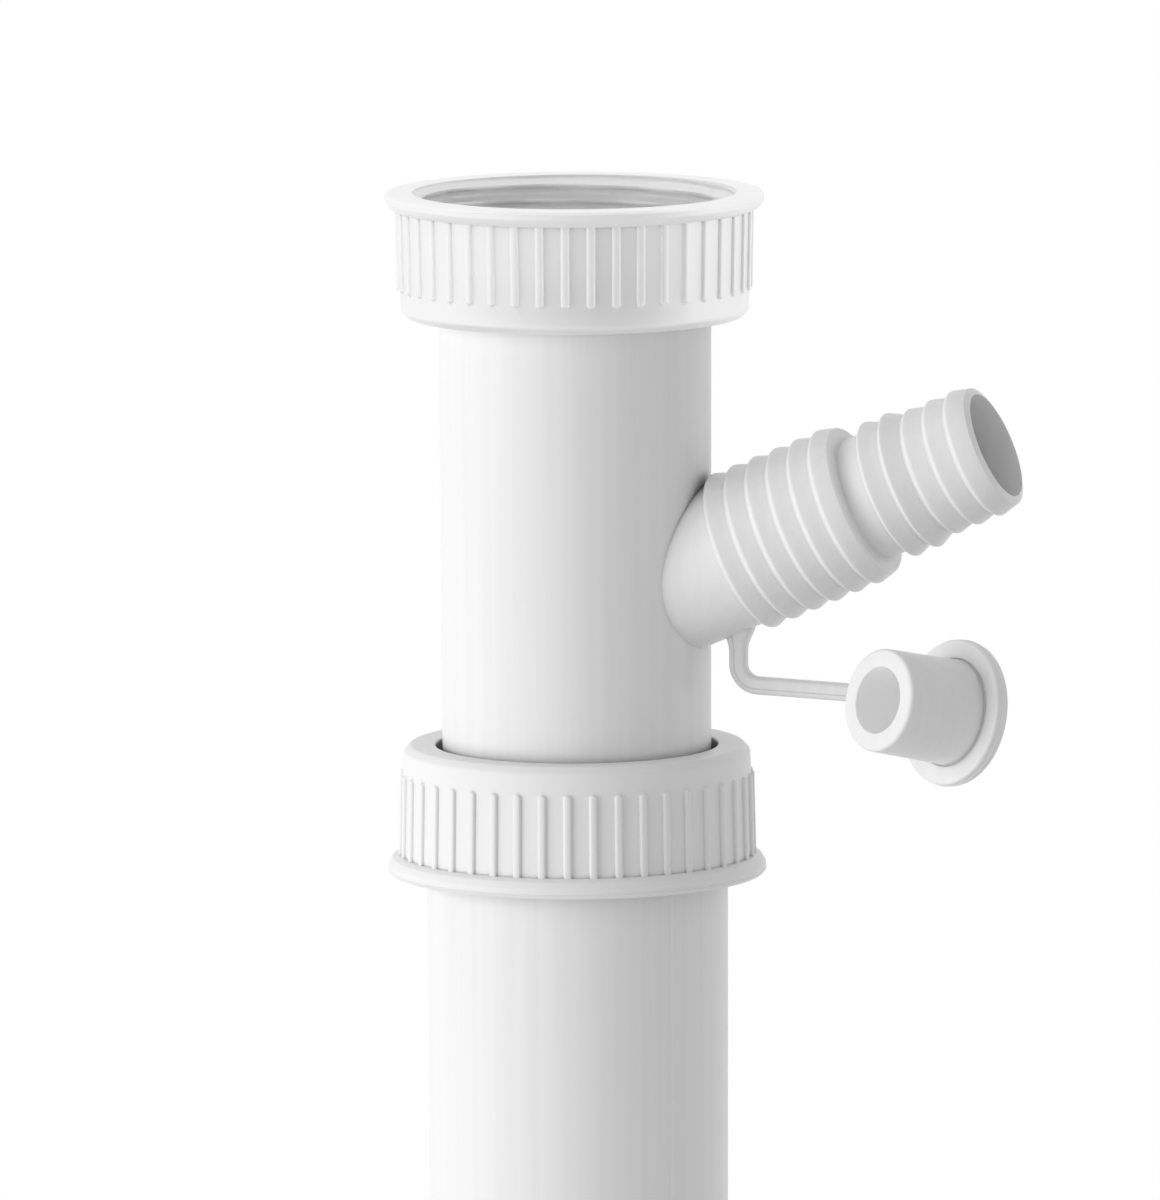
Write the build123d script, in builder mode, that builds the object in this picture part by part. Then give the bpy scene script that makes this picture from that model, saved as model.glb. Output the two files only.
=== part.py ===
"""Tubular sink trap: a ribbed union nut and washer at the inlet, an inlet pipe with a barbed
appliance spigot and its tethered plug, a sliding leg joint, a U bend and a swivelling outlet.

Millimetres. +Z is up along the inlet, and the origin is the centre of the inlet nut's mouth.
Everything lies about the XZ plane: the spigot towards +X, the U bend and outlet towards -X.
"""
import os
from math import cos, radians, sin, tan

from build123d import *

# Union nuts: the joint nuts are a little taller than the inlet nut, and alike otherwise
thread_r = 23.16
thread_length = 10.4
thread_relief = 0.84
inlet_relief_length = 6.0
joint_relief_length = 6.8
nut_end_wall = 2.0
nut_side_wall = 1.65
nut_body_draft = 0.35
nut_shoulder = 1.1
nut_lip_round = 0.35
nut_rim_overhang = 2.0
inlet_rim_height = 2.4
joint_rim_height = 2.8
nut_rim_edge = 0.5
nut_hole_r = 20.85
rib_count = 43
rib_width = 1.14
rib_margin = 4.05
rib_start_angle = 8.12

# Collar and washer that the inlet nut draws up
washer_thickness = 3.0
washer_bore_r = 17.6
collar_r = 22.1
collar_thickness = 2.8

# Inlet pipe, tapered along its length
pipe_top_r = 20.13
pipe_taper = 0.0038
pipe_bore_r = 18.0
pipe_end_chamfer = 0.8
pipe_end = -151.0

# Barbed spigot on the inlet pipe, its levels measured down from the nut's mouth
spigot_rise = 23.62
spigot_level = -63.72
spigot_root_r = 11.2
spigot_bore_r = 7.7
mouth_bore_r = 7.98
mouth_bore_depth = 5.0
barb_step = 0.5
barb_round = 0.55
first_barb_at = 27.7
large_barb_count = 6
large_barb_pitch = 3.5
large_barb_r = 12.4
large_barb_taper = 0.033
large_end_r = 11.45
large_end_at = 48.75
large_end_bevel = 0.3
neck_r = 9.3
middle_barb_at = 52.4
middle_barb_count = 2
small_barb_pitch = 3.54
middle_barb_r = 10.72
middle_root_r = 9.4
small_barb_count = 3
small_barb_r = 9.94
small_root_r = 9.1
spigot_tip = 70.5
mouth_lip = 0.15
mouth_bevel = 0.5

# Plug, and the strap that ties it to the spigot
strap_width = 2.6
strap_depth = 2.5
strap_edge = 0.85
strap_x = 25.08
strap_drop = 8.53
strap_bend_r = 3.1
strap_foot_r = 2.2
strap_foot_length = 3.2
strap_bite = 0.95
strap_lift = 0.23
plug_centre = Vector(59.12, -6.7, -74.2)
plug_bearing = 235.7
plug_tilt = 12.7
flange_r = 10.78
flange_thickness = 2.53
flange_edge = 0.5
flange_seam = 0.12
flange_dish = 0.3
flange_flat = 0.6
barrel_root_r = 7.76
barrel_tip_r = 7.58
barrel_length = 13.68
barrel_edge = 0.6
plug_bore_r = 4.92
plug_bore_floor = 1.4

# Compression joint under the leg nut and under the outlet nut
ring_thickness = 1.2
seal_flange = 1.8
seal_cone = 3.4
seal_bore_r = 20.36
ring_bore_r = 20.4
ring_r = 22.6
seat_mouth_r = 22.1
seat_depth = 7.0
seat_gap = 0.32
socket_r = 20.4

# Trap bend
leg_nut_top = -82.0
male_thread_r = 22.75
male_thread_length = 13.2
leg_top_r = 22.35
leg_taper = 0.0032
leg_socket_length = 76.0
socket_step = 6.0
bend_level = -263.5
bend_r = 38.0
bend_wall = 2.0
rise_length = 28.0
rise_socket_length = 21.0

# Outlet pipe
outlet_r = 20.0
outlet_wall = 2.0
outlet_insert = 18.0
outlet_stem = 5.0
elbow_r = 34.0
outlet_length = 122.0
outlet_chamfer = 1.0

# Radii and levels that follow from the sizes above
relief_r = thread_r + thread_relief
inlet_nut_height = thread_length + inlet_relief_length + nut_end_wall
joint_nut_height = thread_length + joint_relief_length + nut_end_wall
nut_end_r = relief_r + nut_side_wall
nut_body_r = nut_end_r + nut_body_draft
nut_rim_r = nut_body_r + nut_rim_overhang
collar_base = nut_end_wall - inlet_nut_height
collar_top = collar_base + collar_thickness
washer_top = collar_top + washer_thickness
joint_top = leg_nut_top - nut_end_wall
leg_mouth = joint_top - ring_thickness - seal_flange
leg_nut_mouth = leg_nut_top - joint_nut_height
leg_length = leg_mouth - bend_level
leg_end_r = leg_top_r - leg_taper * leg_length
bend_bore_r = leg_end_r - bend_wall
rise_x = -2 * bend_r
rise_mouth = bend_level + rise_length
outlet_joint_top = rise_mouth + seal_flange + ring_thickness
outlet_nut_top = outlet_joint_top + nut_end_wall
outlet_nut_mouth = outlet_nut_top - joint_nut_height
outlet_foot = rise_mouth - outlet_insert
elbow_start = outlet_nut_top + outlet_stem
outlet_level = elbow_start + elbow_r


def pipe_r(level):
    """Outer radius of the tapered inlet pipe at a level."""
    return pipe_top_r - pipe_taper * (collar_base - level)


def barb_points(start, count, pitch, crest_r, root_r, taper=0.0):
    """Foot and crest of each barb as (distance, radius); the steep faces look to the pipe."""
    points = []
    for index in range(count):
        foot = start + index * pitch
        points.append((foot, root_r))
        points.append((foot + barb_step, crest_r - index * taper))
    return points


def socket_leg(length, socket_length):
    """A threaded socket with its mouth at the origin, running down to the plain bend bore."""
    end_r = leg_end_r + leg_taper * length
    with BuildPart() as leg:
        with BuildSketch(Plane.XZ):
            with BuildLine():
                Polyline(
                    (seat_mouth_r, 0),
                    (male_thread_r, 0),
                    (male_thread_r, -male_thread_length),
                    (end_r, -male_thread_length),
                    (leg_end_r, -length),
                    (bend_bore_r, -length),
                    (bend_bore_r, -socket_length - socket_step),
                    (socket_r, -socket_length),
                    (socket_r, -seat_depth),
                    (seat_mouth_r, 0),
                )
            make_face()
        revolve(axis=Axis.Z)
    return leg.part


def union_nut(height, rim_height):
    """A ribbed union nut with its mouth at the origin, opening upward."""
    rib_r = rib_width / 2
    rib_run = height - rim_height - rib_margin
    rib_lean = nut_body_draft / (height - rim_height)
    with BuildPart() as rib:
        with BuildSketch(Plane.XZ):
            with BuildLine():
                rib_top = Vector(nut_body_r, -rim_height / 2)
                rib_tip = Vector(nut_body_r - rib_lean * rib_run, -rim_height - rib_run)
                down = (rib_tip - rib_top).normalized()
                out = Vector(-down.Y, down.X)
                side_top = rib_top + out * rib_r
                side_end = rib_tip + (out - down) * rib_r
                Line(rib_top, side_top)
                Line(side_top, side_end)
                RadiusArc(side_end, rib_tip, -rib_r)
                Line(rib_tip, rib_top)
            make_face()
        revolve(axis=Axis((rib_top.X, 0, rib_top.Y), (down.X, 0, down.Y)))
    with BuildPart() as nut:
        with BuildSketch(Plane.XZ) as nut_section:
            with BuildLine():
                mouth_out = (nut_rim_r - nut_rim_edge, 0)
                rim_top = (nut_rim_r, -nut_rim_edge)
                rim_root = (nut_body_r + rib_width / 2, -rim_height)
                rim_swell = (nut_rim_r - 0.2 * nut_rim_overhang, -rim_height / 2)
                Line((thread_r, 0), mouth_out)
                RadiusArc(mouth_out, rim_top, nut_rim_edge)
                ThreePointArc(rim_top, rim_swell, rim_root)
                Polyline(
                    rim_root,
                    (nut_body_r, -rim_height),
                    (nut_end_r, nut_shoulder - height),
                    (nut_end_r - nut_shoulder, -height),
                    (nut_hole_r, -height),
                    (nut_hole_r, nut_end_wall - height),
                    (relief_r, nut_end_wall - height),
                    (relief_r, -thread_length),
                    (thread_r, -thread_length),
                    (thread_r, 0),
                )
            make_face()
            end_corners = nut_section.vertices().filter_by_position(Axis.Y, -height, -height)
            fillet(end_corners.sort_by(Axis.X)[0], nut_lip_round)
            fillet(end_corners.sort_by(Axis.X)[-1], nut_shoulder / 3)
        revolve(axis=Axis.Z)
        with PolarLocations(0, rib_count, start_angle=rib_start_angle):
            add(rib.part)
    return nut.part


def nut_pointing_down(x, mouth_level, turn):
    """A joint nut with its mouth facing down at the given level and its ribs turned."""
    across = (cos(radians(turn)), sin(radians(turn)), 0)
    with BuildPart() as nut:
        with Locations(Plane((x, 0, mouth_level), x_dir=across, z_dir=(0, 0, -1))):
            add(joint_nut)
    return nut.part


# Frames of the spigot and of the plug
spigot_foot = Vector(0, 0, spigot_level)
spigot_dir = Vector(cos(radians(spigot_rise)), 0, sin(radians(spigot_rise)))
spigot_section_plane = Plane(spigot_foot, x_dir=spigot_dir, z_dir=(0, -1, 0))
spigot_axis = Axis(spigot_foot, spigot_dir)

plug_dir = Vector(
    cos(radians(plug_tilt)) * cos(radians(plug_bearing)),
    cos(radians(plug_tilt)) * sin(radians(plug_bearing)),
    sin(radians(plug_tilt)),
)
plug_side = plug_dir.cross(Vector(0, 0, 1)).normalized()
plug_section_plane = Plane(plug_centre, x_dir=plug_dir, z_dir=plug_side)
plug_axis = Axis(plug_centre, plug_dir)

# Union nuts
joint_nut = union_nut(joint_nut_height, joint_rim_height)
with BuildPart() as inlet_nut:
    add(union_nut(inlet_nut_height, inlet_rim_height))

leg_nut = nut_pointing_down(0, leg_nut_mouth, 2 * rib_start_angle)
outlet_nut = nut_pointing_down(rise_x, outlet_nut_mouth, 0)

# Flat washer at the inlet
with BuildPart() as inlet_washer:
    with BuildSketch(Plane.XY.offset(collar_top)):
        Circle(collar_r)
        Circle(washer_bore_r, mode=Mode.SUBTRACT)
    extrude(amount=washer_thickness)

# Slip ring and tapered rubber seal, drawn downward from the end wall of their nut
with BuildPart() as slip_ring:
    with BuildSketch(Plane.XY):
        Circle(ring_r)
        Circle(ring_bore_r, mode=Mode.SUBTRACT)
    extrude(amount=-ring_thickness)

seat_slope = (seat_mouth_r - socket_r) / seat_depth
seal_mouth_r = seat_mouth_r - seat_gap
with BuildPart() as seal:
    with BuildSketch(Plane.XZ):
        with BuildLine():
            Polyline(
                (seal_bore_r, -ring_thickness),
                (ring_r, -ring_thickness),
                (ring_r, -ring_thickness - seal_flange),
                (seal_mouth_r, -ring_thickness - seal_flange),
                (seal_mouth_r - seat_slope * seal_cone, -ring_thickness - seal_flange - seal_cone),
                (seal_bore_r, -ring_thickness - seal_flange - seal_cone),
                (seal_bore_r, -ring_thickness),
            )
        make_face()
    revolve(axis=Axis.Z)

with BuildPart() as leg_slip_ring:
    with Locations((0, 0, joint_top)):
        add(slip_ring.part)

with BuildPart() as leg_seal:
    with Locations((0, 0, joint_top)):
        add(seal.part)

with BuildPart() as outlet_slip_ring:
    with Locations((rise_x, 0, outlet_joint_top)):
        add(slip_ring.part)

with BuildPart() as outlet_seal:
    with Locations((rise_x, 0, outlet_joint_top)):
        add(seal.part)

# Outline of the spigot: six large barbs, a neck, two middle barbs and three small ones
small_barb_at = middle_barb_at + middle_barb_count * small_barb_pitch
outline = [(0, 0), (0, spigot_root_r)]
outline += barb_points(
    first_barb_at, large_barb_count, large_barb_pitch, large_barb_r, spigot_root_r, large_barb_taper
)
outline += [
    (large_end_at - large_end_bevel, large_end_r),
    (large_end_at, large_end_r - large_end_bevel),
    (large_end_at, neck_r),
    (middle_barb_at, neck_r),
]
outline += barb_points(
    middle_barb_at, middle_barb_count, small_barb_pitch, middle_barb_r, middle_root_r
)[1:]
outline += barb_points(
    small_barb_at, small_barb_count, small_barb_pitch, small_barb_r, small_root_r
)
outline += [
    (spigot_tip - mouth_bevel, small_root_r),
    (spigot_tip, mouth_bore_r + mouth_lip),
    (spigot_tip, 0),
    (0, 0),
]
barb_feet = [first_barb_at + index * large_barb_pitch for index in range(large_barb_count)]
barb_feet += [
    middle_barb_at + index * small_barb_pitch
    for index in range(middle_barb_count + small_barb_count)
]

# Inlet pipe with its collar, spigot, strap and plug, one moulding
with BuildPart() as inlet_pipe:
    with BuildSketch(Plane.XZ):
        with BuildLine():
            Polyline(
                (0, collar_top),
                (collar_r, collar_top),
                (collar_r, collar_base),
                (pipe_r(collar_base), collar_base),
                (pipe_r(pipe_end), pipe_end + pipe_end_chamfer),
                (pipe_r(pipe_end) - pipe_end_chamfer, pipe_end),
                (0, pipe_end),
                (0, collar_top),
            )
        make_face()
    revolve(axis=Axis.Z)

    with BuildSketch(spigot_section_plane) as spigot_section:
        with BuildLine():
            Polyline(*outline)
        make_face()
        spigot_in_plane = spigot_section_plane
        crests = spigot_section.vertices().filter_by(
            lambda corner: any(
                abs(spigot_in_plane.to_local_coords(corner.center()).X - foot - barb_step) < 1e-6
                for foot in barb_feet
            )
        )
        fillet(crests, barb_round)
    revolve(axis=spigot_axis)

    # The strap hangs from the underside of the spigot and turns out to the plug's flange
    root_level = spigot_level + strap_x * tan(radians(spigot_rise))
    root_level -= spigot_root_r / cos(radians(spigot_rise))
    strap_top = Vector(strap_x, 0, root_level + strap_width)
    strap_corner = Vector(strap_x, 0, spigot_level - strap_drop)
    flange_middle = plug_centre - plug_dir * (flange_thickness / 2)
    aim = Vector(-1, 0, strap_lift)
    aim = (aim - plug_dir * aim.dot(plug_dir)).normalized()
    strap_end = flange_middle + aim * (strap_bite * flange_r)
    with BuildLine() as strap_path:
        FilletPolyline(strap_top, strap_corner, strap_end, radius=strap_bend_r)
    with BuildSketch(Plane(strap_top, x_dir=(1, 0, 0), z_dir=(0, 0, -1))):
        RectangleRounded(strap_width, strap_depth, strap_edge)
    sweep(path=strap_path.wires()[0])
    with BuildSketch(Plane.XY.offset(root_level + 0.5)):
        with Locations((strap_x, 0)):
            Circle(strap_foot_r)
    with BuildSketch(Plane.XY.offset(root_level - strap_foot_length)):
        with Locations((strap_x, 0)):
            Circle(strap_depth / 2 - 0.05)
    loft()

    with BuildSketch(plug_section_plane):
        with BuildLine():
            Polyline(
                (barrel_length, 0),
                (barrel_length, barrel_tip_r - barrel_edge),
                (barrel_length - barrel_edge, barrel_tip_r),
                (-flange_dish, barrel_root_r),
                (-flange_edge / 2, flange_r - flange_edge - flange_flat),
                (0, flange_r - flange_edge),
                (-flange_edge, flange_r),
                (flange_seam - flange_thickness / 2, flange_r),
                (-flange_thickness / 2, flange_r + flange_seam),
                (-flange_seam - flange_thickness / 2, flange_r),
                (flange_edge - flange_thickness, flange_r),
                (-flange_thickness, flange_r - flange_edge),
                (-flange_thickness, 0),
                (barrel_length, 0),
            )
        make_face()
    revolve(axis=plug_axis)

    with BuildSketch(Plane.XY.offset(collar_top)):
        Circle(pipe_bore_r)
    extrude(amount=pipe_end - collar_top, mode=Mode.SUBTRACT)
    with BuildSketch(Plane(spigot_foot, x_dir=(0, -1, 0), z_dir=spigot_dir)):
        Circle(spigot_bore_r)
    extrude(amount=spigot_tip, mode=Mode.SUBTRACT)
    mouth_foot = spigot_foot + spigot_dir * (spigot_tip - mouth_bore_depth)
    with BuildSketch(Plane(mouth_foot, x_dir=(0, -1, 0), z_dir=spigot_dir)):
        Circle(mouth_bore_r)
    extrude(amount=mouth_bore_depth, mode=Mode.SUBTRACT)
    bore_foot = plug_centre + plug_dir * (plug_bore_floor - flange_dish)
    with BuildSketch(Plane(bore_foot, x_dir=plug_side, z_dir=plug_dir)):
        Circle(plug_bore_r)
    extrude(amount=barrel_length, mode=Mode.SUBTRACT)

# Trap bend: socket leg, U bend and rising socket, one moulding
with BuildPart() as trap_bend:
    with Locations((0, 0, leg_mouth)):
        add(socket_leg(leg_length, leg_socket_length))
    with Locations((rise_x, 0, rise_mouth)):
        add(socket_leg(rise_length, rise_socket_length - socket_step))
    with BuildSketch(Plane.XY.offset(bend_level)):
        Circle(leg_end_r)
        Circle(bend_bore_r, mode=Mode.SUBTRACT)
    revolve(axis=Axis((-bend_r, 0, bend_level), (0, 1, 0)), revolution_arc=180)

# Outlet pipe: stem in its socket, elbow and plain end
with BuildPart() as outlet_pipe:
    with BuildLine(Plane.XZ) as outlet_path:
        Line((rise_x, outlet_foot), (rise_x, elbow_start))
        JernArc((rise_x, elbow_start), (0, 1), elbow_r, 90)
        Line((rise_x - elbow_r, outlet_level), (rise_x - elbow_r - outlet_length, outlet_level))
    with BuildSketch(Plane((rise_x, 0, outlet_foot))):
        Circle(outlet_r)
        Circle(outlet_r - outlet_wall, mode=Mode.SUBTRACT)
    sweep(path=outlet_path.wires()[0])
    end_edges = outlet_pipe.faces().sort_by(Axis.X)[0].edges()
    chamfer(end_edges.sort_by(SortBy.LENGTH)[-1], outlet_chamfer)

pieces = {
    "inlet_nut": inlet_nut.part,
    "inlet_washer": inlet_washer.part,
    "inlet_pipe": inlet_pipe.part,
    "leg_nut": leg_nut,
    "leg_slip_ring": leg_slip_ring.part,
    "leg_seal": leg_seal.part,
    "trap_bend": trap_bend.part,
    "outlet_nut": outlet_nut,
    "outlet_slip_ring": outlet_slip_ring.part,
    "outlet_seal": outlet_seal.part,
    "outlet_pipe": outlet_pipe.part,
}
os.makedirs("parts", exist_ok=True)
for name, piece in pieces.items():
    piece.label = name
    export_step(piece, f"parts/{name}.step")
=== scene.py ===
"""Looks of the drain trap: white satin plastic mouldings with rounded grips, threads and mould lines."""
import math

import bmesh
import bpy
import numpy as np
from mathutils import Matrix, Vector


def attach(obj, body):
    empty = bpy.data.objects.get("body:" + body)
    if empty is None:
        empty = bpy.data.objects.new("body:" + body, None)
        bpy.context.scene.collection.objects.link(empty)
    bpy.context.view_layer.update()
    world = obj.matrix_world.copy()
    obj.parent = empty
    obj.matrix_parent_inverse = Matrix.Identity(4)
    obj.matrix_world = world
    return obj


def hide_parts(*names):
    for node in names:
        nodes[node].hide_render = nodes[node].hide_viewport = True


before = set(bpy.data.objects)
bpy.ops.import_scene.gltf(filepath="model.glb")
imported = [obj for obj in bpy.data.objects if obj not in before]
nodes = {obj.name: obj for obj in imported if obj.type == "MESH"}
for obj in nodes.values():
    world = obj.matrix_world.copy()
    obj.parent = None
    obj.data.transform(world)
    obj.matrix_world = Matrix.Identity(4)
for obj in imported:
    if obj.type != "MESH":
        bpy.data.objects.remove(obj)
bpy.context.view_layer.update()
MM = 0.001
FULL_TURN = 2 * math.pi

# Union nuts, in millimetres, mouth at 0 and body downwards
INLET_NUT_HEIGHT = 18.4
INLET_RIM_HEIGHT = 2.4
INLET_FLASH = 0.02
JOINT_NUT_HEIGHT = 19.2
JOINT_RIM_HEIGHT = 2.8
JOINT_FLASH = 0.14
FLASH_LEVEL = 0.57
FLASH_HALF_WIDTH = 0.12
THREAD_PITCH = 2.309
THREAD_MINOR_R = 22.45
THREAD_MAJOR_R = 23.85
THREAD_START = 1.0
THREAD_RUN_IN = 0.9
THREAD_END = 9.6
THREAD_RUN_OUT = 0.6
THREAD_ROWS = 44
NUT_SHARP = 50.0
LIP_R = 23.8
RELIEF_R = 24.0
RELIEF_TOP = 10.4
END_WALL = 2.0
HOLE_R = 20.85
BODY_TOP_R = 26.0
BODY_END_R = 25.65
RIM_R = 28.0

# Ribs of a nut; the section goes from the spine outwards
RIB_COUNT = 43
RIB_PITCH = FULL_TURN / RIB_COUNT
RIB_START = math.radians(8.12)
RIB_MARGIN = 4.05
RIB_HALF_WIDTH = 0.62
RIB_PROUD = 0.5
RIB_KNOTS = [0.0, 0.25, 0.42, 0.52, 0.60, 0.66]
RIB_SHARES = [1.0, 0.985, 0.90, 0.72, 0.36, 0.07]
RIB_FOOT = 0.80
RIB_CLEAR = 1.05

# Inlet pipe
PIPE_TOP_R = 20.13
PIPE_TAPER = 0.0038
PIPE_BORE_R = 18.0
PIPE_MIDDLE = -90.0
PIPE_END = -151.0
COLLAR_BASE = -16.4
COLLAR_TOP = -13.6
COLLAR_R = 22.1
PIPE_COLUMNS = 192
PIPE_SHARP = 30.0

# Spigot, along its own axis from the pipe's
SPIGOT_LEVEL = -63.72
SPIGOT_RISE = math.radians(23.62)
SPIGOT_START = 14.0
SPIGOT_NECK_R = 11.0
SPIGOT_ROOT_R = 11.2
SPIGOT_TIP = 70.45
SPIGOT_BORE_R = 7.7
SPIGOT_MOUTH = 65.4
SPIGOT_MOUTH_R = 7.98
SPIGOT_LIP_R = 8.05
SPIGOT_COLUMNS = 128
SPIGOT_BORE_COLUMNS = 96
BARB_LEAD = 0.45
BARB_FOOT_EDGE = 0.35
LARGE_BARB_START = 27.7
LARGE_BARB_PITCH = 3.5
LARGE_BARB_R = 12.36
LARGE_BARB_TAPER = 0.033
LARGE_BARB_END = 48.4
WAIST_R = 9.3
SMALL_BARB_PITCH = 3.54
MIDDLE_BARB_START = 52.4
MIDDLE_BARB_R = 10.69
MIDDLE_ROOT_R = 9.4
SMALL_BARB_START = 59.5
SMALL_BARB_R = 9.9
SMALL_ROOT_R = 9.1

# Plug, and the strap that holds it
PLUG_CENTRE = Vector((59.12, -6.7, -74.2))
PLUG_BEARING = math.radians(235.7)
PLUG_TILT = math.radians(12.7)
FLANGE_R = 10.78
FLANGE_BACK = 2.48
FLANGE_DEPTH = 2.53
BARREL_LENGTH = 13.68
BARREL_BASE_R = 7.77
BARREL_TIP_R = 7.58
BARREL_BORE_R = 4.92
BARREL_FLOOR_R = 4.86
PLUG_COLUMNS = 128
STRAP_X = 25.08
STRAP_DROP = 8.53
STRAP_BEND_R = 3.1
STRAP_WIDTH = 2.6
STRAP_DEPTH = 2.5
STRAP_EDGE = 0.8
STRAP_SEAM = 0.1
STRAP_SEAM_HALF = 0.12
STRAP_ROOT_ROWS = 9
STRAP_RISE = 1.6
STRAP_FLARE = 0.75
STRAP_FLARE_START = 0.6
STRAP_FLARE_LENGTH = 3.0
STRAP_SINK = 0.95
STRAP_LIFT = 0.23

# Trap bend: threaded socket, leg, U bend, rising leg
LEG_NUT_TOP = -82.0
LEG_MOUTH = -87.6
LEG_START = 14.0
LEG_TOP_R = 22.35
LEG_TAPER = 0.00336
LEG_WALL = 2.0
MALE_R = 22.75
MALE_CREST_START = 0.6
MALE_CREST_END = 12.4
MALE_WAVE = 0.25
MALE_STEPS = 8
MALE_END = 13.2
MALE_END_R = 22.31
MOUTH_R = 22.4
SEAT_R = 22.1
SEAT_DEPTH = 7.0
SOCKET_BORE_R = 20.4
SOCKET_RUN = 6.0
LEG_SOCKET = 76.0
RISE_SOCKET = 15.0
BEND_LEVEL = -263.5
BEND_R = 38.0
BEND_COLUMNS = 144
BEND_ROWS = 73
RISE_X = -76.0
RISE_MOUTH = -235.5
SEAM_ANGLE = math.radians(-34.0)
SEAM_R = 22.3
SEAM_HALF_WIDTH = 0.25
SEAM_PROUD = 0.09
SEAM_START = 13.0
BEND_SHARP = 40.0

# Outlet pipe
OUTLET_NUT_TOP = -230.5
OUTLET_R = 20.0
OUTLET_BORE_R = 18.0
OUTLET_FOOT = RISE_MOUTH - 18.0
OUTLET_LENGTH = 122.0
ELBOW_START = -225.5
ELBOW_R = 34.0
ELBOW_ROWS = 41
OUTLET_COLUMNS = 128


def arc(middle, first, last, radius, shares):
    """Points on the arc between two unit directions from its middle, at shares of its sweep."""
    sweep = first.angle(last)
    points = []
    for t in shares:
        blend = first * math.sin((1 - t) * sweep) + last * math.sin(t * sweep)
        points.append(middle + blend / math.sin(sweep) * radius)
    return points


def rounded(points, steps=6):
    """Points (r, z, radius) with each corner rounded to its radius."""
    out = []
    for i, (x, y, radius) in enumerate(points):
        here = Vector((x, y))
        if radius <= 0 or i in (0, len(points) - 1):
            out.append((x, y))
            continue
        before = Vector(points[i - 1][:2]) - here
        after = Vector(points[i + 1][:2]) - here
        half = before.angle(after) / 2
        reach = min(radius / math.tan(half), before.length * 0.49, after.length * 0.49)
        radius = reach * math.tan(half)
        start = here + before.normalized() * reach
        end = here + after.normalized() * reach
        middle = here + (before.normalized() + after.normalized()).normalized() * radius / math.sin(half)
        first = (start - middle).normalized()
        last = (end - middle).normalized()
        if first.angle(last) < 1e-6:
            corner = [here] * (steps + 1)
        else:
            corner = arc(middle, first, last, radius, [k / steps for k in range(steps + 1)])
        out += [(p.x, p.y) for p in corner]
    return out


def make_object(name, verts, faces, sharp=38.0):
    """A smooth-shaded mesh in metres, with edges above an angle in degrees kept sharp."""
    mesh = bpy.data.meshes.new(name)
    mesh.from_pydata([tuple(v) for v in verts], [], faces)
    mesh.validate()
    mesh.update()
    mesh.shade_smooth()
    mesh.set_sharp_from_angle(angle=math.radians(sharp))
    obj = bpy.data.objects.new(name, mesh)
    bpy.context.scene.collection.objects.link(obj)
    return obj


def face_outward(obj):
    """Turns every face outward."""
    bm = bmesh.new()
    bm.from_mesh(obj.data)
    bmesh.ops.recalc_face_normals(bm, faces=bm.faces)
    bm.to_mesh(obj.data)
    bm.free()
    obj.data.update()


def grid_faces(rows, columns, closed_rows):
    """Quads of a grid whose columns close on themselves, and whose rows may."""
    faces = []
    last = rows if closed_rows else rows - 1
    for i in range(last):
        j = (i + 1) % rows
        for c in range(columns):
            d = (c + 1) % columns
            faces.append((i * columns + c, i * columns + d, j * columns + d, j * columns + c))
    return faces


def even_angles(columns):
    """Angles of evenly spaced columns round an axis."""
    return np.arange(columns) * 2 * math.pi / columns


def lathe(name, profile, angles, matrix=None, sharp=38.0):
    """Turns (r, z) points in millimetres about the local Z axis; both ends lie on the axis."""
    columns = len(angles)
    body = profile[1:-1]
    r = np.array([p[0] for p in body])[:, None]
    z = np.array([p[1] for p in body])[:, None] * np.ones(columns)[None, :]
    verts = np.stack([r * np.cos(angles), r * np.sin(angles), z], axis=-1).reshape(-1, 3)
    faces = grid_faces(len(body), columns, False)
    first = len(verts)
    verts = np.vstack([verts, [[0, 0, profile[0][1]], [0, 0, profile[-1][1]]]])
    for c in range(columns):
        d = (c + 1) % columns
        faces.append((first, d, c))
        faces.append((first + 1, first - columns + c, first - columns + d))
    verts = verts * MM
    if matrix is not None:
        verts = [matrix @ Vector(v) for v in verts]
    obj = make_object(name, verts, faces, sharp)
    face_outward(obj)
    return obj


def ring_sweep(name, rings, angles, bump=None, sharp=38.0):
    """Joins rings (centre, u, v, radius, bumped) in millimetres into one closed skin."""
    cos_a = np.cos(angles)
    sin_a = np.sin(angles)
    verts = []
    for centre, u, v, radius, bumped in rings:
        r = radius + (bump(angles) if bumped else 0.0)
        verts.append(np.outer(r * cos_a, u) + np.outer(r * sin_a, v) + np.array(centre)[None, :])
    faces = grid_faces(len(rings), len(angles), True)
    obj = make_object(name, np.vstack(verts) * MM, faces, sharp)
    face_outward(obj)
    return obj


def boolean(target, other, operation):
    """Joins another object to a target or cuts it away, and removes the other object."""
    modifier = target.modifiers.new(operation, "BOOLEAN")
    modifier.operation = operation
    modifier.solver = "EXACT"
    modifier.object = other
    bpy.context.view_layer.update()
    depsgraph = bpy.context.evaluated_depsgraph_get()
    mesh = bpy.data.meshes.new_from_object(target.evaluated_get(depsgraph))
    target.modifiers.remove(modifier)
    old = target.data
    target.data = mesh
    bpy.data.meshes.remove(old)
    bpy.data.objects.remove(other)


def smooth_step(t):
    """Runs smoothly from 0 to 1 as t does."""
    t = np.clip(t, 0, 1)
    return t * t * (3 - 2 * t)


# Nuts
def nut_angles():
    """Angles of a nut's mesh, finer across each rib."""
    offsets = RIB_KNOTS + [RIB_CLEAR]
    offsets = sorted([-v for v in offsets[1:]] + offsets)
    angles = []
    for k in range(RIB_COUNT):
        middle = RIB_START + k * RIB_PITCH
        angles += [middle + v / BODY_TOP_R for v in offsets]
        angles.append(middle + RIB_PITCH / 2)
    return np.array(angles)


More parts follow.
